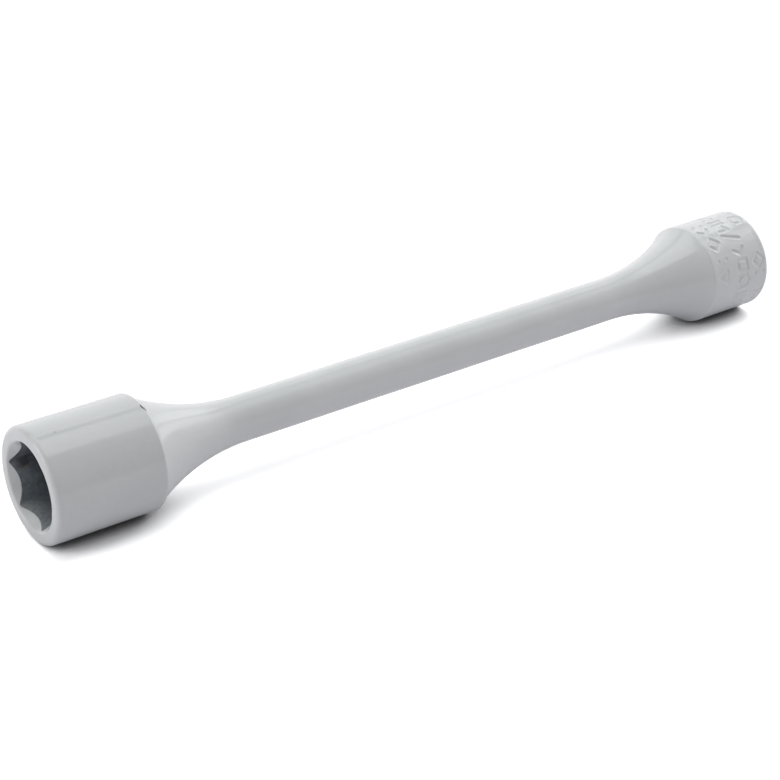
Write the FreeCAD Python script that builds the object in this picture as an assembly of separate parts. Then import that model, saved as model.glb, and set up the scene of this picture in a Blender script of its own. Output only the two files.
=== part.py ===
import FreeCAD, Part
import math
import os

# Torque-limiting wheel-nut socket extension.
# A wheel-nut socket head and a square-drive head stand on the two ends of a slender
# torsion shank. Everything outside is turned about one axis.
#
# Frame: X runs along the axis, from the wheel-nut mouth to the drive face.
# Origin: centre of the square-drive face, on the axis. +Z is up with the tool lying on
# its side. Stations below are measured from the wheel-nut mouth, in millimetres.

# ---- overall ----------------------------------------------------------------------
overall_length = 203.2        # 8 in over both end faces

# ---- wheel-nut head ---------------------------------------------------------------
nut_head_d = 26.3             # outside diameter
nut_head_len = 25.9           # mouth face to rear face
nut_front_round = 2.35        # rounding of the outer front edge
nut_rear_round = 0.35         # rounding of the outer rear edge
nut_af = 17.2                 # hexagon across flats, for 17 mm nuts
nut_corner_r = 1.25           # rounded hexagon corners
nut_roll_deg = 9.5            # flat's normal, turned from +Z towards -Y
nut_hex_depth = 15.5          # mouth face to the bottom of the hexagon
stud_hole_d = 14.0            # stud clearance bored on beyond the hexagon
stud_hole_depth = 5.0         # its length, flat bottomed
lead_in_r = 10.12             # lead-in cone radius in the mouth plane
lead_in_rate = 1.30           # cone depth for each millimetre of radius
lead_in_round = 0.6           # rounding between cone and mouth face
nut_seat_d = 20.8             # rear counterbore that takes the shank's spigot
nut_seat_depth = 2.6          # its depth

# ---- torsion shank ----------------------------------------------------------------
shank_d = 10.5                # plain torsion length
nut_flare_r = 50.3            # concave arc behind the wheel-nut head
nut_flare_end = 52.0          # station where that arc runs out into the shank
drive_flare_start = 158.2     # station where the drive-end arc begins
drive_flare_r = 55.8          # concave arc in front of the drive head
spigot_lead = 0.3             # chamfer on both spigots

# ---- drive head -------------------------------------------------------------------
drive_head_d = 24.7           # outside diameter
drive_head_front = 184.9      # station of its front face
drive_front_round = 0.5       # rounding of the outer front edge
drive_rear_round = 0.4        # rounding of the outer edge at the drive face
drive_af = 12.8               # square across flats, for a 12.7 mm (1/2 in) drive
drive_corner_r = 0.6          # rounded square corners
drive_depth = 15.5            # drive face to the spigot that closes the square
drive_lead_in_r = 8.4         # lead-in cone radius in the face plane
drive_lead_in_rate = 1.0      # cone depth for each millimetre of radius
drive_lead_in_round = 0.4     # rounding between cone and drive face
drive_seat_d = 19.0           # counterbore that takes the shank's spigot

V = FreeCAD.Vector
AXIS = V(1, 0, 0)


def at(station, radius):
    """A point in the turning plane: station along the axis, radius from it."""
    return V(station - overall_length, 0, radius)


def turned(points):
    """A solid turned about the axis from corners (station, radius, rounding)."""
    n = len(points)
    runs = []
    for i in range(n):
        s, r, rounding = points[i]
        p = at(s, r)
        if rounding <= 0:
            runs.append((p, p, None))
            continue
        a = at(points[i - 1][0], points[i - 1][1])
        b = at(points[(i + 1) % n][0], points[(i + 1) % n][1])
        to_a = (a - p).normalize()
        to_b = (b - p).normalize()
        half = to_a.getAngle(to_b) / 2.0
        reach = rounding / math.tan(half)
        start = p + to_a * reach
        end = p + to_b * reach
        centre = p + (to_a + to_b).normalize() * (rounding / math.sin(half))
        mid = centre + (p - centre).normalize() * rounding
        runs.append((start, end, mid))
    edges = []
    for i in range(n):
        start, end, mid = runs[i]
        if mid is not None:
            edges.append(Part.Arc(start, mid, end).toShape())
        following = runs[(i + 1) % n][0]
        if (following - end).Length > 1e-6:
            edges.append(Part.LineSegment(end, following).toShape())
    face = Part.Face(Part.Wire(edges))
    return face.revolve(V(0, 0, 0), AXIS, 360)


def cylinder(station, length, diameter):
    return Part.makeCylinder(diameter / 2.0, length, at(station, 0), AXIS)


def prism(sides, across_flats, corner_r, first_normal_deg, station, length):
    """A regular prism along the axis with rounded corners.
    The first flat's normal is turned from +Z towards -Y."""
    a = across_flats / 2.0
    corner = a / math.cos(math.pi / sides)
    pts = []
    for i in range(sides):
        t = math.radians(first_normal_deg) + math.pi / sides + i * 2 * math.pi / sides
        pts.append(V(station - overall_length, -corner * math.sin(t), corner * math.cos(t)))
    edges = []
    half = math.pi / 2 - math.pi / sides
    reach = corner_r / math.tan(half)
    runs = []
    for i in range(sides):
        p = pts[i]
        to_a = (pts[i - 1] - p).normalize()
        to_b = (pts[(i + 1) % sides] - p).normalize()
        centre = p + (to_a + to_b).normalize() * (corner_r / math.sin(half))
        mid = centre + (p - centre).normalize() * corner_r
        runs.append((p + to_a * reach, mid, p + to_b * reach))
    for i in range(sides):
        start, mid, end = runs[i]
        edges.append(Part.Arc(start, mid, end).toShape())
        edges.append(Part.LineSegment(end, runs[(i + 1) % sides][0]).toShape())
    return Part.Face(Part.Wire(edges)).extrude(V(length, 0, 0))


def flare_radius(run, arc_r):
    """Shank radius at a distance run into a flare."""
    return shank_d / 2.0 + arc_r - math.sqrt(arc_r ** 2 - run ** 2)


# ---- wheel-nut head: a cup with a hexagon, a stud clearance bore beyond it and a floor --
nut_R = nut_head_d / 2.0
cone_tip = lead_in_r * lead_in_rate
wheel_nut_head = turned([
    (cone_tip, 0.0, 0),
    (0.0, lead_in_r, lead_in_round),
    (0.0, nut_R, nut_front_round),
    (nut_head_len, nut_R, nut_rear_round),
    (nut_head_len, 0.0, 0),
])
nut_seat = nut_head_len - nut_seat_depth
wheel_nut_head = wheel_nut_head.cut(
    prism(6, nut_af, nut_corner_r, nut_roll_deg, -1.0, nut_hex_depth + 1.0))
wheel_nut_head = wheel_nut_head.cut(
    cylinder(nut_hex_depth - 1.0, stud_hole_depth + 1.0, stud_hole_d))
wheel_nut_head = wheel_nut_head.cut(
    cylinder(nut_seat, nut_seat_depth + 1.0, nut_seat_d))

# ---- drive head: a shorter sleeve with the square broached right through ------------
drive_R = drive_head_d / 2.0
drive_tip = overall_length - drive_lead_in_r * drive_lead_in_rate
drive_head = turned([
    (drive_head_front, 0.0, 0),
    (drive_head_front, drive_R, drive_front_round),
    (overall_length, drive_R, drive_rear_round),
    (overall_length, drive_lead_in_r, drive_lead_in_round),
    (drive_tip, 0.0, 0),
])
drive_floor = overall_length - drive_depth
drive_head = drive_head.cut(
    prism(4, drive_af, drive_corner_r, 0.0, drive_head_front - 1.0,
          overall_length - drive_head_front + 2.0))
drive_head = drive_head.cut(
    cylinder(drive_head_front - 1.0, drive_floor - drive_head_front + 1.0, drive_seat_d))

# ---- torsion shank: spigot, flare, plain bar, flare, spigot -------------------------
nut_flare_run = nut_flare_end - nut_head_len
nut_shoulder_r = flare_radius(nut_flare_run, nut_flare_r)
drive_flare_run = drive_head_front - drive_flare_start
drive_shoulder_r = flare_radius(drive_flare_run, drive_flare_r)
r = shank_d / 2.0
nut_seat_r = nut_seat_d / 2.0
drive_seat_r = drive_seat_d / 2.0
edges = []


def line(a, b):
    edges.append(Part.LineSegment(at(*a), at(*b)).toShape())


line((nut_seat, 0), (nut_seat, nut_seat_r - spigot_lead))
line((nut_seat, nut_seat_r - spigot_lead), (nut_seat + spigot_lead, nut_seat_r))
line((nut_seat + spigot_lead, nut_seat_r), (nut_head_len, nut_seat_r))
line((nut_head_len, nut_seat_r), (nut_head_len, nut_shoulder_r))
edges.append(Part.Arc(
    at(nut_head_len, nut_shoulder_r),
    at(nut_flare_end - nut_flare_run / 2.0, flare_radius(nut_flare_run / 2.0, nut_flare_r)),
    at(nut_flare_end, r)).toShape())
line((nut_flare_end, r), (drive_flare_start, r))
edges.append(Part.Arc(
    at(drive_flare_start, r),
    at(drive_flare_start + drive_flare_run / 2.0,
       flare_radius(drive_flare_run / 2.0, drive_flare_r)),
    at(drive_head_front, drive_shoulder_r)).toShape())
line((drive_head_front, drive_shoulder_r), (drive_head_front, drive_seat_r))
line((drive_head_front, drive_seat_r), (drive_floor - spigot_lead, drive_seat_r))
line((drive_floor - spigot_lead, drive_seat_r), (drive_floor, drive_seat_r - spigot_lead))
line((drive_floor, drive_seat_r - spigot_lead), (drive_floor, 0))
line((drive_floor, 0), (nut_seat, 0))
torsion_shank = Part.Face(Part.Wire(edges)).revolve(V(0, 0, 0), AXIS, 360)

# ---- one STEP file for each piece ---------------------------------------------------
os.makedirs("parts", exist_ok=True)
pieces = {
    "wheel_nut_head": wheel_nut_head,
    "torsion_shank": torsion_shank,
    "drive_head": drive_head,
}
for name, shape in pieces.items():
    solids = shape.Solids
    assert len(solids) == 1, (name, len(solids))
    solid = solids[0]
    assert solid.isValid() and solid.isClosed(), name
    assert solid.Volume > 0, name
    solid.exportStep(os.path.join("parts", name + ".step"))
    box = solid.BoundBox
    print("%-16s volume %9.1f mm3  x %.2f..%.2f  y %.2f..%.2f  z %.2f..%.2f" % (
        name, solid.Volume, box.XMin, box.XMax, box.YMin, box.YMax, box.ZMin, box.ZMax))
for a, b in (("wheel_nut_head", "torsion_shank"), ("drive_head", "torsion_shank"),
             ("wheel_nut_head", "drive_head")):
    shared = pieces[a].common(pieces[b]).Volume
    print("%s and %s share %.4f mm3" % (a, b, shared))
print("shoulder radii %.3f and %.3f" % (nut_shoulder_r, drive_shoulder_r))
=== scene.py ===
import math

import bpy
import numpy as np
from mathutils import Matrix, Vector


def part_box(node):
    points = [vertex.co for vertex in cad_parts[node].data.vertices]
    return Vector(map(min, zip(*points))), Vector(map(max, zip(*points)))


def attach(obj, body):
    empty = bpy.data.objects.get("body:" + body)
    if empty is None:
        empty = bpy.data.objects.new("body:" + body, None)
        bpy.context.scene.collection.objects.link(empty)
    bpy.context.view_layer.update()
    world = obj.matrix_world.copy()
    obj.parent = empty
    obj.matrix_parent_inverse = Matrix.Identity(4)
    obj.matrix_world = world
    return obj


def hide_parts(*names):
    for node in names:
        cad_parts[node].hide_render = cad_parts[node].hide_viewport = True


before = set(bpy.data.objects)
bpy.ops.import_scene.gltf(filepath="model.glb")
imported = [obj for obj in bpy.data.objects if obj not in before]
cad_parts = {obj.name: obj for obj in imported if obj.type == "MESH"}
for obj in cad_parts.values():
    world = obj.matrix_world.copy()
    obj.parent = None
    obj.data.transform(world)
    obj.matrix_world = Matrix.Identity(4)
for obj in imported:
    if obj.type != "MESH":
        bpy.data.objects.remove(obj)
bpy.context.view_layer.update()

# Millimetre work space: station s runs from the wheel-nut mouth (0) to the drive face.
MM = 0.001
nut_lo, nut_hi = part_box("wheel_nut_head")
bar_lo, bar_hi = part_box("torsion_shank")
drv_lo, drv_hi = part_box("drive_head")
L = (drv_hi.x - nut_lo.x) / MM                # 203.2
X0 = nut_lo.x                                 # mouth plane in metres
NUT_LEN = (nut_hi.x - nut_lo.x) / MM          # 25.9
NUT_R = nut_hi.z / MM                         # 13.15
DRV_LEN = (drv_hi.x - drv_lo.x) / MM          # 18.3
DRV_R = drv_hi.z / MM                         # 12.35
DRV_S = L - DRV_LEN                           # station of the drive head's front
BAR_R = 5.25
NUT_ARC, NUT_ARC_S = 50.3, 52.0               # concave flare arcs: radius, runout station
DRV_ARC, DRV_ARC_S = 55.8, 158.2
rng = np.random.default_rng(7)


# ---------------------------------------------------------------- mesh helpers
def fillet(pts, steps=5):
    """Corners (s, r, rounding) to a polyline with round corners. Works on arrays too."""
    out = []
    n = len(pts)
    for i, (s, r, q) in enumerate(pts):
        p = np.array([s, r], float)
        if q <= 0 or i in (0, n - 1):
            out.append(p)
            continue
        a = np.array(pts[i - 1][:2], float) - p
        b = np.array(pts[i + 1][:2], float) - p
        la, lb = np.hypot(*a), np.hypot(*b)
        a, b = a / la, b / lb
        half = math.acos(max(-1, min(1, float(a @ b)))) / 2
        t = min(q / math.tan(half), 0.49 * la, 0.49 * lb)
        rad = t * math.tan(half)
        bis = (a + b) / np.hypot(*(a + b))
        c = p + bis * rad / math.sin(half)
        v0, v1 = p + a * t - c, p + b * t - c
        a0 = math.atan2(v0[1], v0[0])
        d = math.atan2(v1[1], v1[0]) - a0
        d = (d + math.pi) % (2 * math.pi) - math.pi
        for k in range(steps + 1):
            w = a0 + d * k / steps
            out.append(c + rad * np.array([math.cos(w), math.sin(w)]))
    return np.array(out)


def densify(poly, step):
    """Adds points along a polyline so that no run is longer than step."""
    out = [poly[0]]
    for a, b in zip(poly[:-1], poly[1:]):
        d = np.hypot(*(b - a))
        k = max(1, int(math.ceil(d / step)))
        for j in range(1, k + 1):
            out.append(a + (b - a) * j / k)
    return np.array(out)


def lathe(name, S, R, mats, row_mat, close=(True, True), wrap=False):
    """A closed skin from rows of rings. S and R are (rows, segments) in mm, phi from +Z towards -Y.
    row_mat gives the material of the band that follows each row. With wrap the last row joins the
    first, which makes an open sleeve."""
    rows, seg = S.shape
    phi = np.linspace(0, 2 * math.pi, seg, endpoint=False)
    x = X0 + S * MM
    y = -R * np.sin(phi)[None] * MM
    z = R * np.cos(phi)[None] * MM
    co = np.stack([x, y, z], -1).reshape(-1, 3)
    verts = [co]
    bands = rows if wrap else rows - 1
    i = np.arange(bands)[:, None]
    i2 = (i + 1) % rows
    j = np.arange(seg)[None]
    j2 = (j + 1) % seg
    quads = np.stack([i * seg + j, i2 * seg + j, i2 * seg + j2, i * seg + j2], -1).reshape(-1, 4)
    nq = len(quads)
    tris = []
    base = rows * seg
    if close[0]:
        verts.append(np.array([[co[:seg, 0].mean(), 0, 0]]))
        k = np.arange(seg)
        tris.append(np.stack([np.full(seg, base), k, (k + 1) % seg], -1))
        base += 1
    if close[1]:
        verts.append(np.array([[co[(rows - 1) * seg:rows * seg, 0].mean(), 0, 0]]))
        k = np.arange(seg)
        o = (rows - 1) * seg
        tris.append(np.stack([np.full(seg, base), o + (k + 1) % seg, o + k], -1))
        base += 1
    co = np.concatenate(verts)
    me = bpy.data.meshes.new(name)
    tri = np.concatenate(tris) if tris else np.zeros((0, 3), int)
    me.vertices.add(len(co))
    me.vertices.foreach_set("co", co.astype(np.float32).ravel())
    loops = np.concatenate([quads.ravel(), tri.ravel()])
    me.loops.add(len(loops))
    me.loops.foreach_set("vertex_index", loops.astype(np.int32))
    starts = np.concatenate([np.arange(nq) * 4, nq * 4 + np.arange(len(tri)) * 3])
    me.polygons.add(len(starts))
    me.polygons.foreach_set("loop_start", starts.astype(np.int32))
    me.polygons.foreach_set("loop_total", np.concatenate([np.full(nq, 4), np.full(len(tri), 3)]).astype(np.int32))
    mi = np.concatenate([np.repeat(np.asarray(row_mat)[:bands], seg),
                         np.full(seg if close[0] else 0, row_mat[0]),
                         np.full(seg if close[1] else 0, row_mat[rows - 2])])
    me.polygons.foreach_set("material_index", mi.astype(np.int32))
    me.polygons.foreach_set("use_smooth", np.ones(len(starts), bool))
    me.update(calc_edges=True)
    me.validate()
    for m in mats:
        me.materials.append(m)
    ob = bpy.data.objects.new(name, me)
    bpy.context.scene.collection.objects.link(ob)
    return ob


def smoothstep(a, b, x):
    t = np.clip((x - a) / (b - a), 0, 1)
    return t * t * (3 - 2 * t)


def waves(S, PHI, R, terms):
    """Smooth low waviness in mm, periodic round the axis."""
    out = np.zeros(np.broadcast(S, PHI).shape)
    for amp, ks, m, ph in terms:
        out = out + amp * np.sin(ks * S + m * PHI + ph)
    return out


def wave_terms(n, amp, s_len, m_max, seed):
    g = np.random.default_rng(seed)
    t = []
    for _ in range(n):
        m = int(g.integers(-m_max, m_max + 1))
        ks = 2 * math.pi / (s_len * (0.6 + 1.4 * g.random())) * g.choice([-1, 1])
        t.append((amp * (0.4 + g.random()) / math.sqrt(n), ks, m, g.random() * 6.283))
    return t


# ---------------------------------------------------------------- material helpers
def new_mat(name):
    m = bpy.data.materials.new(name)
    m.use_nodes = True
    nt = m.node_tree
    nt.nodes.clear()
    out = nt.nodes.new("ShaderNodeOutputMaterial")
    bsdf = nt.nodes.new("ShaderNodeBsdfPrincipled")
    nt.links.new(bsdf.outputs[0], out.inputs[0])
    return m, nt, bsdf


class NT:
    def __init__(self, nt):
        self.nt = nt

    def link(self, a, b):
        self.nt.links.new(a, b)

    def val(self, sock, v):
        if hasattr(v, "node"):
            self.link(v, sock)
        else:
            sock.default_value = v

    def math(self, op, a, b=None, c=None, clamp=False):
        n = self.nt.nodes.new("ShaderNodeMath")
        n.operation = op
        n.use_clamp = clamp
        self.val(n.inputs[0], a)
        if b is not None:
            self.val(n.inputs[1], b)
        if c is not None:
            self.val(n.inputs[2], c)
        return n.outputs[0]

    def step(self, x, lo, hi, to_lo=0.0, to_hi=1.0, smooth=True):
        n = self.nt.nodes.new("ShaderNodeMapRange")
        n.interpolation_type = "SMOOTHSTEP" if smooth else "LINEAR"
        self.val(n.inputs["Value"], x)
        n.inputs["From Min"].default_value = lo
        n.inputs["From Max"].default_value = hi
        n.inputs["To Min"].default_value = to_lo
        n.inputs["To Max"].default_value = to_hi
        return n.outputs[0]

    def coords(self, kind="Object"):
        n = self.nt.nodes.new("ShaderNodeTexCoord")
        return n.outputs[kind]

    def scale(self, v, s):
        n = self.nt.nodes.new("ShaderNodeVectorMath")
        n.operation = "MULTIPLY"
        self.link(v, n.inputs[0])
        n.inputs[1].default_value = s
        return n.outputs[0]

    def noise(self, v, scale, detail=2.0, rough=0.5, kind="FBM", distortion=0.0):
        n = self.nt.nodes.new("ShaderNodeTexNoise")
        n.noise_type = kind
        self.link(v, n.inputs["Vector"])
        n.inputs["Scale"].default_value = scale
        n.inputs["Detail"].default_value = detail
        n.inputs["Roughness"].default_value = rough
        n.inputs["Distortion"].default_value = distortion
        return n.outputs["Fac"]

    def voronoi(self, v, scale, feature="F1", out="Distance", rand=1.0):
        n = self.nt.nodes.new("ShaderNodeTexVoronoi")
        n.feature = feature
        self.link(v, n.inputs["Vector"])
        n.inputs["Scale"].default_value = scale
        n.inputs["Randomness"].default_value = rand
        return n.outputs[out]

    def mix(self, fac, a, b):
        n = self.nt.nodes.new("ShaderNodeMix")
        n.data_type = "RGBA"
        self.val(n.inputs["Factor"], fac)
        for sock, v in ((n.inputs[6], a), (n.inputs[7], b)):
            if hasattr(v, "node"):
                self.link(v, sock)
            else:
                sock.default_value = (*v, 1.0)
        return n.outputs[2]

    def bump(self, height, strength, distance, normal=None):
        n = self.nt.nodes.new("ShaderNodeBump")
        n.inputs["Strength"].default_value = strength
        n.inputs["Distance"].default_value = distance
        self.link(height, n.inputs["Height"])
        if normal is not None:
            self.link(normal, n.inputs["Normal"])
        return n.outputs[0]

    def sep(self, v):
        n = self.nt.nodes.new("ShaderNodeSeparateXYZ")
        self.link(v, n.inputs[0])
        return n.outputs[0], n.outputs[1], n.outputs[2]


PAINT = (0.504, 0.521, 0.522)


def enamel(name, peel=0.05, rough=0.10, flaws_and_seam_shade=(), painted_light_tone=1.0):
    """Light grey sprayed enamel: orange peel, faint flow marks, dust nibs, a painted highlight on sharp edges and
    painted shade in crevices.
    """
    m, nt, b = new_mat(name)
    n = NT(nt)
    P = n.coords("Object")
    cloud = n.noise(P, 55.0, 3.0, 0.55)
    fine = n.noise(P, 900.0, 2.0, 0.5)
    streak = n.noise(n.scale(P, (40.0, 700.0, 700.0)), 1.0, 2.0, 0.5)
    # the tone factor makes each part's copy of the one paint lighter or darker to match how bright that part looks:
    # painted light
    c = n.mix(n.step(cloud, 0.35, 0.65), tuple(x * 0.975 * painted_light_tone for x in PAINT), tuple(x * 1.02 * painted_light_tone for x in PAINT))
    c = n.mix(n.math("MULTIPLY", n.step(fine, 0.45, 0.75), 0.25), c, tuple(x * 0.93 * painted_light_tone for x in PAINT))
    c = n.mix(n.math("MULTIPLY", n.step(streak, 0.5, 0.8), 0.22), c, tuple(x * 0.94 * painted_light_tone for x in PAINT))
    # dust nibs: sparse dark specks a few tenths of a millimetre across
    cell = n.voronoi(P, 95.0)
    pick = n.voronoi(P, 95.0, out="Color")
    pr, pg, pb = n.sep(pick)
    nib = n.math("MULTIPLY", n.math("SUBTRACT", 1.0, n.step(cell, 0.010, 0.024)), n.step(pr, 0.90, 0.92))
    c = n.mix(n.math("MULTIPLY", nib, 0.55), c, (0.16, 0.155, 0.14))
    # edges: geometry pointiness paints a lighter highlight on the sharp edges and paints darker shade into the
    # crevices
    g = nt.nodes.new("ShaderNodeNewGeometry")
    painted_edge_highlight = n.step(g.outputs["Pointiness"], 0.56, 0.70)
    painted_crevice_shade = n.math("SUBTRACT", 1.0, n.step(g.outputs["Pointiness"], 0.40, 0.47))
    # painted highlight: sharp edges drawn lighter
    c = n.mix(n.math("MULTIPLY", painted_edge_highlight, 0.25), c, (0.66, 0.67, 0.66))
    # painted shade: crevices drawn darker
    c = n.mix(n.math("MULTIPLY", painted_crevice_shade, 0.05), c, (0.34, 0.345, 0.34))
    # places the spray missed; the near-black ones at the head-to-shank seam are paint skips darkened to near black as
    # painted shade of the gap behind them: station, degrees from the top, half sizes in mm and degrees, colour
    if flaws_and_seam_shade:
        px, py, pz = n.sep(P)
        turn = n.math("MULTIPLY", n.math("ARCTAN2", n.math("MULTIPLY", py, -1.0), pz), 180 / math.pi)
        wob = n.noise(P, 900.0, 3.0, 0.6)
        for s0, deg, hs, hd, col in flaws_and_seam_shade:
            u = n.math("DIVIDE", n.math("SUBTRACT", px, X0 + s0 * MM), hs * MM)
            v = n.math("DIVIDE", n.math("SUBTRACT", turn, deg), hd)
            d = n.math("SQRT", n.math("ADD", n.math("MULTIPLY", u, u), n.math("MULTIPLY", v, v)))
            d = n.math("ADD", d, n.math("MULTIPLY_ADD", wob, 1.2, -0.6))
            c = n.mix(n.math("SUBTRACT", 1.0, n.step(d, 0.75, 1.1)), c, col)
    n.link(c, b.inputs["Base Color"])
    r = n.step(cloud, 0.3, 0.7, rough - 0.01, rough + 0.03, smooth=False)
    r = n.math("ADD", r, n.math("MULTIPLY", fine, 0.03))
    n.link(r, b.inputs["Roughness"])
    b.inputs["IOR"].default_value = 1.5
    peel_h = n.noise(P, 420.0, 1.5, 0.5)
    peel_l = n.noise(P, 160.0, 1.0, 0.5)
    nor = n.bump(peel_h, peel, 0.00010)
    nor = n.bump(peel_l, peel, 0.00025, nor)
    n.link(nor, b.inputs["Normal"])
    return m


def phosphate(name):
    """Dark phosphated steel inside the sockets, mottled, with a light haze of overspray near the mouths, drawn
    stronger on upward faces as painted light from above.
    """
    m, nt, b = new_mat(name)
    n = NT(nt)
    P = n.coords("Object")
    x, y, z = n.sep(P)
    big = n.noise(P, 260.0, 4.0, 0.6)
    fine = n.noise(P, 1400.0, 3.0, 0.65)
    c = n.mix(n.step(big, 0.35, 0.65), (0.092, 0.105, 0.122), (0.165, 0.184, 0.204))
    c = n.mix(n.step(fine, 0.52, 0.72), c, (0.22, 0.24, 0.26))
    g = nt.nodes.new("ShaderNodeNewGeometry")
    nx, ny, nz = n.sep(g.outputs["Normal"])
    near = n.math("MAXIMUM", n.math("SUBTRACT", 1.0, n.step(x, X0 + 1.0 * MM, X0 + 9.0 * MM)),
                  n.step(x, X0 + (L - 9.0) * MM, X0 + (L - 1.0) * MM))
    # partly real overspray near the ends, partly painted light: upward-facing walls drawn lighter
    overspray_and_top_light = n.math("MULTIPLY", near, n.step(nz, -0.1, 0.8, 0.05, 1.0))
    overspray_and_top_light = n.math("MULTIPLY", overspray_and_top_light, n.step(fine, 0.30, 0.60, 0.55, 1.0))
    c = n.mix(overspray_and_top_light, c, (0.36, 0.385, 0.40))
    # a brown rust line down one corner
    rr = n.noise(P, 700.0, 3.0, 0.6)
    turn = n.math("MULTIPLY", n.math("ARCTAN2", n.math("MULTIPLY", y, -1.0), z), 180 / math.pi)
    line = n.math("MULTIPLY", n.step(turn, -95.5, -93.0), n.math("SUBTRACT", 1.0, n.step(turn, -91.5, -89.5)))
    line = n.math("MULTIPLY", line, n.step(rr, 0.42, 0.58))
    line = n.math("MULTIPLY", line, n.math("LESS_THAN", x, X0 + 30.0 * MM))
    c = n.mix(n.math("MULTIPLY", line, 0.7), c, (0.20, 0.16, 0.10))
    # black blotches between that line and the corner
    blot = n.math("MULTIPLY", n.step(turn, -93.0, -89.5), n.math("SUBTRACT", 1.0, n.step(turn, -79.5, -74.0)))
    blot = n.math("MULTIPLY", blot, n.step(x, X0 + 1.2 * MM, X0 + 3.5 * MM))
    blot = n.math("MULTIPLY", blot, n.step(big, 0.38, 0.54))
    blot = n.math("MULTIPLY", blot, n.math("LESS_THAN", x, X0 + 30.0 * MM))
    c = n.mix(n.math("MULTIPLY", blot, 0.75), c, (0.030, 0.032, 0.036))
    n.link(c, b.inputs["Base Color"])
    n.link(n.step(big, 0.3, 0.7, 0.38, 0.6, smooth=False), b.inputs["Roughness"])
    b.inputs["Metallic"].default_value = 0.15
    b.inputs["IOR"].default_value = 1.5
    n.link(n.bump(fine, 0.35, 0.00008), b.inputs["Normal"])
    return m


# head, bar and drive head share one paint; their different tones are painted light, lighter or darker per part
# the near-black patch at station 25.75 is a paint skip at the seam, darkened as painted shade of the gap
paint = enamel("grey_enamel_head", painted_light_tone=0.974, flaws_and_seam_shade=((25.75, 16.5, 0.36, 3.8, (0.02, 0.02, 0.022)), (5.5, 14.0, 0.34, 1.5, (0.40, 0.40, 0.385)), (3.0, 9.0, 0.24, 1.1, (0.45, 0.455, 0.45))))
# the near-black patch at station 26.15 is a paint skip at the seam, darkened as painted shade of the gap
paint_bar = enamel("grey_enamel_bar", peel=0.05, rough=0.10, painted_light_tone=1.070, flaws_and_seam_shade=((26.15, 17.0, 0.40, 3.8, (0.02, 0.02, 0.022)),))
paint_drv = enamel("grey_enamel_drive", peel=0.07, rough=0.14, painted_light_tone=1.100)
dark = phosphate("dark_phosphate")

# ---------------------------------------------------------------- wheel-nut head
SEG = 720
PHI = np.linspace(0, 2 * math.pi, SEG, endpoint=False)


def polygon_r(phi, sides, half_af, corner, roll):
    """Polar radius of a regular polygon with rounded corners; first flat's normal at roll."""
    w = math.pi / sides
    t = np.abs((phi - roll + w) % (2 * w) - w)
    flat = half_af / np.cos(t)
    D = (half_af - corner) / math.cos(w)
    b = w - t
    disc = np.maximum(corner ** 2 - (D * np.sin(b)) ** 2, 0)
    arc = D * np.cos(b) + np.sqrt(disc)
    edge = math.atan2((half_af - corner) * math.tan(w), half_af)
    return np.where(t < edge, flat, arc)


def socket_rows(shape_r, cone_r, rate, lip, edge_round, depth, wall_rows, arc_steps=6, cone_rows=8, lip_steps=6):
    """Rows (s, r) of a broached hole: up its wall, round the edge, up the lead-in cone and over the lip
    on to the mouth face. Where the hole's corner is wider than the cone, the cone shrinks to the lip.
    Returns the rows, the number of bare rows and the radius at which the mouth face starts."""
    shape_r = np.asarray(shape_r, float)
    ang = math.atan2(1.0, rate)                       # slope of the cone against the axis
    lip_c = np.maximum(cone_r, shape_r + 0.25)        # where the cone would meet the mouth face
    s_edge = (lip_c - shape_r) * rate                 # where it meets the wall
    t_lip = np.minimum(lip * math.tan((math.pi / 2 - ang) / 2), 0.45 * s_edge)
    t_edge = np.minimum(edge_round * math.tan(ang / 2), 0.45 * s_edge)
    rows = []
    top = s_edge + t_edge
    for k in range(wall_rows):
        rows.append((depth + (top - depth) * k / wall_rows, shape_r))
    # quadratic arcs: wall -> cone, then the straight cone, then cone -> face
    d = (math.cos(ang), math.sin(ang))                # up the cone: -s, +r
    e0 = (top, shape_r)
    e1 = (s_edge, shape_r)
    e2 = (s_edge - d[0] * t_edge, shape_r + d[1] * t_edge)
    for k in range(arc_steps + 1):
        w = k / arc_steps
        rows.append(tuple((1 - w) ** 2 * a + 2 * w * (1 - w) * b + w * w * c for a, b, c in zip(e0, e1, e2)))
    bare = len(rows) - arc_steps // 2
    l0 = (d[0] * t_lip, lip_c - d[1] * t_lip)
    for k in range(1, cone_rows):
        w = k / cone_rows
        rows.append((e2[0] + (l0[0] - e2[0]) * w, e2[1] + (l0[1] - e2[1]) * w))
    l1, l2 = (0.0, lip_c), (0.0, lip_c + t_lip)
    for k in range(lip_steps + 1):
        w = k / lip_steps
        rows.append(tuple((1 - w) ** 2 * a + 2 * w * (1 - w) * b + w * w * c for a, b, c in zip(l0, l1, l2)))
    return rows, bare, lip_c + t_lip


ROLL = math.radians(9.5)
hexr = polygon_r(PHI, 6, 8.6, 1.25, ROLL)
rows = [(np.full(SEG, 20.5), np.full(SEG, r_)) for r_ in (0.5, 3.0, 5.5, 6.5)] + [
        (np.full(SEG, 20.5), np.full(SEG, 6.7)),
        (np.full(SEG, 20.4), np.full(SEG, 6.93)), (np.full(SEG, 20.2), np.full(SEG, 7.0)),
        (np.full(SEG, 15.7), np.full(SEG, 7.0)), (np.full(SEG, 15.5), np.full(SEG, 7.2)),
        (np.full(SEG, 15.5), np.full(SEG, 7.4)), (np.full(SEG, 15.5), hexr - 0.32),
        (np.full(SEG, 15.5), hexr - 0.15)]
head0 = len(rows)
hx, bare, face_r = socket_rows(hexr, 10.12, 1.30, 0.9, 0.30, 15.35, 26)
rows += hx
paint_from = head0 + bare
ring_r = NUT_R - 2.35
for k in range(1, 4):
    rows.append((np.zeros(SEG), face_r + (ring_r - face_r) * k / 4))
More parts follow.
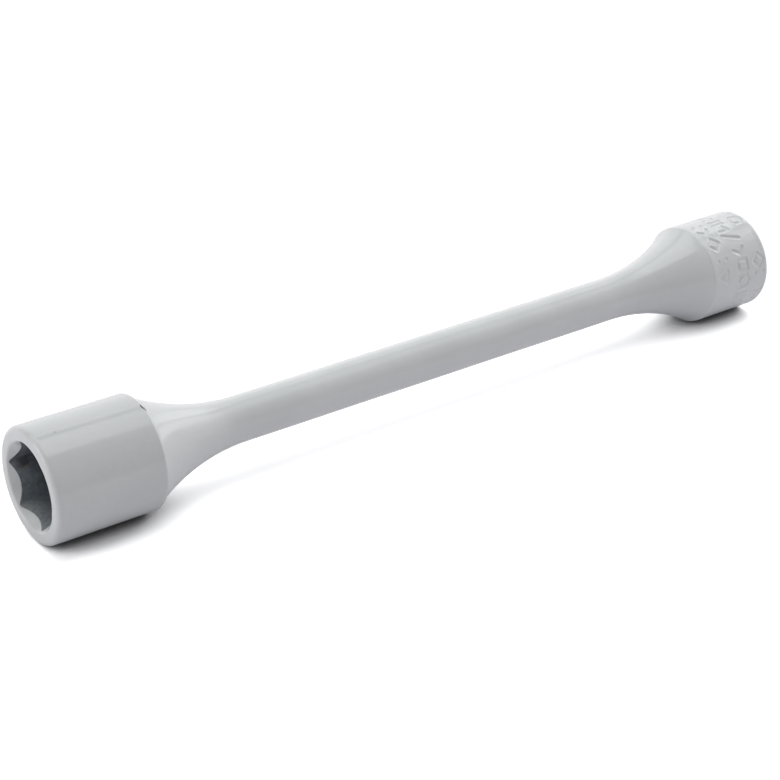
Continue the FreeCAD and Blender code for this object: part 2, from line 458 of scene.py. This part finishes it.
outer = densify(fillet([(0.0, 10.5, 0), (0.0, NUT_R, 2.35), (NUT_LEN, NUT_R, 0.35), (NUT_LEN, 10.4, 0)], 10), 0.55)
for s_, r_ in outer:
    if s_ == 0.0 and r_ < ring_r - 0.01:
        continue
    rows.append((np.full(SEG, s_), np.full(SEG, r_)))
# counterbore that sits on the shank's spigot
for s_, r_ in ((NUT_LEN - 2.6, 10.4), (NUT_LEN - 2.6, 0.5)):
    rows.append((np.full(SEG, s_), np.full(SEG, r_)))
S = np.array([r[0] for r in rows])
R = np.array([r[1] for r in rows])
ph = PHI[None]
cover = smoothstep(0.5, 3.0, S) * (R > 12.9)
sag = waves(S, ph, R, wave_terms(10, 0.010, 30.0, 3, 3)) - 0.018
R = np.minimum(R + np.minimum(sag, 0) * cover, NUT_R - 0.006)
rm = np.zeros(len(rows), int)
rm[:paint_from] = 1
head = lathe("socket_head", S[::1], R[::1], [paint, dark], rm)
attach(head, "root")
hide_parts("wheel_nut_head")

# ---------------------------------------------------------------- torsion shank
SEGB = 320
PHB = np.linspace(0, 2 * math.pi, SEGB, endpoint=False)


def bar_radius(s):
    s = np.asarray(s, float)
    r = np.full_like(s, BAR_R)
    r = np.where(s < NUT_ARC_S, BAR_R + NUT_ARC - np.sqrt(np.maximum(NUT_ARC ** 2 - (NUT_ARC_S - s) ** 2, 0)), r)
    r = np.where(s > DRV_ARC_S, BAR_R + DRV_ARC - np.sqrt(np.maximum(DRV_ARC ** 2 - (s - DRV_ARC_S) ** 2, 0)), r)
    # the paint fills the corner under each head
    r = r + np.where(s < 50, 0.22 * np.exp(-(s - NUT_LEN) / 0.30), 0) + np.where(s > 150, 0.25 * np.clip((s - DRV_S + 3.2) / 3.2, 0, 1) ** 2, 0)
    return r


sa, sb = NUT_LEN, DRV_S
stations = np.concatenate([np.arange(sa, sa + 2.4, 0.12), np.arange(sa + 2.4, 52, 0.4), np.arange(52, 158, 1.0),
                           np.arange(158, sb - 2.4, 0.4), np.linspace(sb - 2.4, sb, 21)])
r_line = bar_radius(stations)
rows = [(sa - 2.6, 0.5), (sa - 2.6, 10.1), (sa - 2.3, 10.4), (sa, 10.4)] + list(zip(stations, r_line)) + \
       [(sb, 9.5), (sb + 2.5, 9.5)] + [(sb + 2.8, r_) for r_ in (9.2, 8.9, 7.0, 5.0, 2.5, 0.5)]
S = np.repeat(np.array([a for a, _ in rows])[:, None], SEGB, 1)
R = np.repeat(np.array([b for _, b in rows])[:, None], SEGB, 1)
ph = PHB[None]
on = ((S > sa) & (S < sb) & (R > 4)).astype(float) * smoothstep(sa, sa + 1.5, S) * (1 - smoothstep(sb - 1.5, sb, S))
low = waves(S, ph, R, wave_terms(12, 0.016, 45.0, 3, 11))
R = R + low * on
rm = np.zeros(len(rows), int)
rm[-6:] = 1                                           # the spigot's end is the bottom of the square hole
bar = lathe("torsion_bar", S, R, [paint_bar, dark], rm)
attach(bar, "root")
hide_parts("torsion_shank")

# ---------------------------------------------------------------- drive head
SEGD = 500
PHD = np.linspace(0, 2 * math.pi, SEGD, endpoint=False)
sq = polygon_r(PHD, 4, 6.4, 0.6, 0.0)
rows = [(np.full(SEGD, 15.5), sq)]
q, bare, face_r = socket_rows(sq, 8.4, 1.0, 0.4, 0.25, 15.35, 20)
paint_from = len(rows) + bare
rows += q
ring_r = DRV_R - 0.4
for k in range(1, 10):
    rows.append((np.zeros(SEGD), face_r + (ring_r - face_r) * k / 10))
outer = densify(fillet([(0.0, 9.0, 0), (0.0, DRV_R, 0.4), (DRV_LEN - 0.45, DRV_R, 0.5), (DRV_LEN, DRV_R - 0.06, 0.04), (DRV_LEN, 9.5, 0)], 8), 0.13)
for s_, r_ in outer:
    if s_ == 0.0 and r_ < ring_r - 0.01:
        continue
    rows.append((np.full(SEGD, s_), np.full(SEGD, r_)))
rows.append((np.full(SEGD, DRV_LEN - 2.8), np.full(SEGD, 9.5)))
rows = rows[::-1]
S = np.array([L - r[0] for r in rows])
R = np.array([r[1] for r in rows])
rm = np.zeros(len(rows), int)
rm[len(rows) - 1 - paint_from:] = 1

# stamped marks: plain outlines, bars and dots, filled soft by the paint. (u, v) in mm on the skin:
# u along the axis, v round it.
STROKE, DEPTH, WALL = 0.70, 0.27, 0.72


def seg_dist(u, v, a, b):
    ax, ay = a
    bx, by = b
    lx, ly = bx - ax, by - ay
    k = np.clip(((u - ax) * lx + (v - ay) * ly) / (lx * lx + ly * ly), 0, 1)
    return np.hypot(u - ax - k * lx, v - ay - k * ly)


def outline(sides, rad, turn=0.0, closed=True, squash=1.0):
    pts = [(rad * math.cos(turn + 2 * math.pi * k / sides), squash * rad * math.sin(turn + 2 * math.pi * k / sides))
           for k in range(sides)]
    segs = list(zip(pts, pts[1:] + pts[:1]))
    return segs if closed else segs[:-1]


MARKS = {
    "hexagon": outline(6, 1.85, 0.0, True, 0.88),
    "square": outline(4, 2.1, math.pi / 4, True, 0.9),
    "diamond": outline(4, 1.75, 0.0),
    "triangle": outline(3, 1.9, math.pi),
    "slash": [((-2.3, -0.9), (2.3, 0.9))],
    "bar": [((-1.9, 0.0), (1.9, 0.0))],
    "bars": [((-1.8, -0.75), (1.8, -0.75)), ((-1.8, 0.75), (1.8, 0.75))],
    "chevron": [((-1.6, -0.5), (0.2, 0.6)), ((0.2, 0.6), (1.7, -0.9))],
    "angle": [((-1.6, 0.7), (1.6, 0.7)), ((1.6, 0.7), (0.7, -0.9))],
    "dot": [((-0.05, 0.0), (0.05, 0.0))],
    "dots": [((-1.4, 0.0), (-1.3, 0.0)), ((1.3, 0.0), (1.4, 0.0))],
}
# (mark, station, degrees from the top towards the camera side, strength)
STAMPS = [
    ("dots", 188.6, 2, 0.8), ("chevron", 188.3, 16, 1.0), ("diamond", 188.3, 36, 1.0), ("dots", 188.6, 58, 0.5),
    ("triangle", 188.5, 78, 0.4),
    ("triangle", 194.6, -22, 0.9), ("dots", 194.4, -8, 0.9), ("bars", 194.3, 6, 0.9), ("angle", 194.2, 19, 1.0),
    ("slash", 194.6, 33, 1.1), ("chevron", 194.6, 53, 1.0), ("square", 194.8, 70, 0.9), ("hexagon", 194.9, 89, 0.9),
    ("bars", 194.6, 108, 0.6), ("dots", 194.6, 122, 0.7),
    ("bar", 200.4, -8, 0.9), ("hexagon", 200.3, 10, 0.9), ("diamond", 200.3, 70, 0.8), ("dots", 200.2, 84, 0.7),
    ("bars", 200.2, 112, 0.7), ("angle", 200.2, 127, 0.9), ("dots", 200.2, 140, 0.8),
]
ph = np.broadcast_to(PHD[None], S.shape)
cut = np.zeros(S.shape)
rim = np.zeros(S.shape)
on_skin = (R > DRV_R - 0.05)
for kind, s0, deg, strength in STAMPS:
    v = ((ph - math.radians(deg) + math.pi) % (2 * math.pi) - math.pi) * DRV_R
    near = on_skin & (np.abs(v) < 4) & (np.abs(S - s0) < 4)
    u = S - s0
    d = np.full(S.shape, 9.0)
    for a_, b_ in MARKS[kind]:
        d = np.where(near, np.minimum(d, seg_dist(u, v, a_, b_)), d)
    w_ = 1 - smoothstep(STROKE / 2 - WALL / 2, STROKE / 2 + WALL / 2, d)
    cut = np.maximum(cut, w_ * DEPTH * strength)
    rim = np.maximum(rim, np.where(near, np.exp(-((d - STROKE / 2 - 0.42) / 0.20) ** 2), 0) * strength)
cover = smoothstep(DRV_S + 0.5, DRV_S + 2.0, S) * (1 - smoothstep(L - 1.6, L - 0.6, S)) * on_skin
sag = waves(S, ph, R, wave_terms(14, 0.018, 9.0, 9, 5)) - 0.030
R = R - cut + 0.035 * rim * (cut < 0.02) + np.minimum(sag, 0) * cover
drv = lathe("square_drive_head", S, R, [paint_drv, dark], rm, (False, False), True)
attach(drv, "root")
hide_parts("drive_head")

# ---------------------------------------------------------------- floor
tilt = math.asin((NUT_R - DRV_R) / (L - 0.5 * NUT_LEN - 0.5 * DRV_LEN))
fl = bpy.data.meshes.new("studio_floor")
w = 6.0
fl.from_pydata([(-w, -w, 0), (w, -w, 0), (w, w, 0), (-w, w, 0)], [], [(0, 1, 2, 3)])
floor = bpy.data.objects.new("studio_floor", fl)
bpy.context.scene.collection.objects.link(floor)
# touches both heads from below: rises by the difference of their radii
xa, za = X0 + 0.5 * NUT_LEN * MM, -NUT_R * MM
floor.rotation_euler = (0, -math.atan((NUT_R - DRV_R) / (L - 0.5 * NUT_LEN - 0.5 * DRV_LEN)), 0)
floor.location = (xa, 0, za - 0.00002)
m, nt, b = new_mat("studio_white")
n = NT(nt)
lp = nt.nodes.new("ShaderNodeLightPath")
b.inputs["Roughness"].default_value = 0.9
b.inputs["Specular IOR Level"].default_value = 0.0
# what the camera sees of it: white, shaded where the part shuts the overhead light out
ao = nt.nodes.new("ShaderNodeAmbientOcclusion")
ao.samples = 24
ao.inputs["Distance"].default_value = 0.25
lean = nt.nodes.new("ShaderNodeCombineXYZ")
lean.inputs[1].default_value = math.sin(math.radians(12))
lean.inputs[2].default_value = math.cos(math.radians(12))
n.link(lean.outputs[0], ao.inputs["Normal"])
shade = n.math("DIVIDE", n.step(ao.outputs["AO"], 0.05, 0.58, 0.02, 0.90),
               n.math("MAXIMUM", ao.outputs["AO"], 0.15))
n.link(n.mix(lp.outputs["Is Camera Ray"], (0.833, 0.810, 0.856), shade), b.inputs["Base Color"])
fl.materials.append(m)

# ---------------------------------------------------------------- light: soft boxes round the part
# Brightness of each box. Rows go round the part's axis from the camera side (-90) over the top (0) to
# the back (90), columns go from the mouth's end (-90) to the drive end (90), in degrees.
ROUND = [-90, -50, -30, -15.5, 21.5, 37, 56, 90]
ALONG = [-90, -50, -15, 25, 41, 66, 90]
BOXES = [
    [0.16, 0.45, 0.34, 0.30, 1.15, 1.00],
    [0.40, 0.45, 0.18, 0.46, 1.35, 1.00],
    [0.75, 0.45, 0.30, 0.66, 2.15, 0.90],
    [1.45, 0.75, 2.30, 1.35, 2.85, 2.60],
    [2.90, 1.25, 1.95, 1.46, 3.00, 2.50],
    [3.95, 1.25, 1.30, 1.13, 2.20, 2.00],
    [3.30, 0.60, 1.20, 1.27, 1.12, 0.80],
]
world = bpy.data.worlds.new("studio")
bpy.context.scene.world = world
world.use_nodes = True
nt = world.node_tree
nt.nodes.clear()
out = nt.nodes.new("ShaderNodeOutputWorld")
bg = nt.nodes.new("ShaderNodeBackground")
nt.links.new(bg.outputs[0], out.inputs[0])
n = NT(nt)
dx, dy, dz = n.sep(n.coords("Generated"))
around = n.math("MULTIPLY", n.math("ARCTAN2", dy, dz), 180 / math.pi)
along = n.math("MULTIPLY", n.math("ARCSINE", dx), 180 / math.pi)


def windows(x, edges, soft):
    """One window per interval, soft at the inner edges; together they add up to 1."""
    ups = [n.step(x, e - soft, e + soft) for e in edges[1:-1]]
    out = [n.math("SUBTRACT", 1.0, ups[0])]
    for u, v in zip(ups[:-1], ups[1:]):
        out.append(n.math("SUBTRACT", u, v))
    return out + [ups[-1]]


rounds = windows(around, ROUND, 2.0)
alongs = windows(along, ALONG, 4.0)
total = None
for w_r, row in zip(rounds, BOXES):
    part = None
    for w_a, v in zip(alongs, row):
        if v <= 0:
            continue
        k = n.math("MULTIPLY", w_a, v)
        part = k if part is None else n.math("ADD", part, k)
    if part is None:
        continue
    part = n.math("MULTIPLY", part, w_r)
    total = part if total is None else n.math("ADD", total, part)
# the dark gap between the two overhead boxes, which stand askew to the part
skew = n.math("DIVIDE", n.math("ADD", n.math("MULTIPLY", dx, 0.587), n.math("MULTIPLY", dy, 0.809)),
              n.math("MAXIMUM", dz, 0.01))
gap = n.math("MULTIPLY", n.step(skew, 0.58, 0.62), n.math("SUBTRACT", 1.0, n.step(skew, 0.76, 0.80)))
gap = n.math("MULTIPLY", gap, n.math("SUBTRACT", 1.0, n.step(dx, 0.66, 0.76)))
total = n.math("MULTIPLY", total, n.math("MULTIPLY_ADD", gap, -0.85, 1.0))
# the seam between the two panels behind the drive end
seam = n.math("MULTIPLY", n.step(dy, 0.135, 0.165), n.math("SUBTRACT", 1.0, n.step(dy, 0.19, 0.22)))
seam = n.math("MULTIPLY", seam, n.step(dx, 0.55, 0.75))
total = n.math("MULTIPLY", total, n.math("MULTIPLY_ADD", seam, -0.75, 1.0))
total = n.math("MULTIPLY", total, n.step(dz, -0.01, 0.0))
lp = nt.nodes.new("ShaderNodeLightPath")
seen = n.math("MULTIPLY", lp.outputs["Is Camera Ray"], 1.1)
total = n.math("MAXIMUM", total, seen)
nt.links.new(total, bg.inputs["Strength"])
bg.inputs["Color"].default_value = (1, 1, 1, 1)

# ---------------------------------------------------------------- camera
cam = bpy.data.cameras.new("camera")
cam_ob = bpy.data.objects.new("camera", cam)
bpy.context.scene.collection.objects.link(cam_ob)
cam.sensor_width = 36.0
FPX = 2010.3
cam.lens = FPX * 36.0 / 780.0
cam.clip_start, cam.clip_end = 0.01, 50.0
right = Vector((0.80935, -0.58732, 0.0)).normalized()
fwd = Vector((0.52205, 0.71941, -0.45814)).normalized()
up = right.cross(fwd).normalized()
right = fwd.cross(up).normalized()
up = right.cross(fwd).normalized()
cam_ob.matrix_world = Matrix((
    (right.x, up.x, -fwd.x, X0 - 0.15188),
    (right.y, up.y, -fwd.y, -0.33716),
    (right.z, up.z, -fwd.z, 0.20939),
    (0, 0, 0, 1)))
bpy.context.scene.camera = cam_ob
vs = bpy.context.scene.view_settings
vs.view_transform = "Standard"
vs.look = "None"
vs.exposure = 0.0
vs.gamma = 1.0
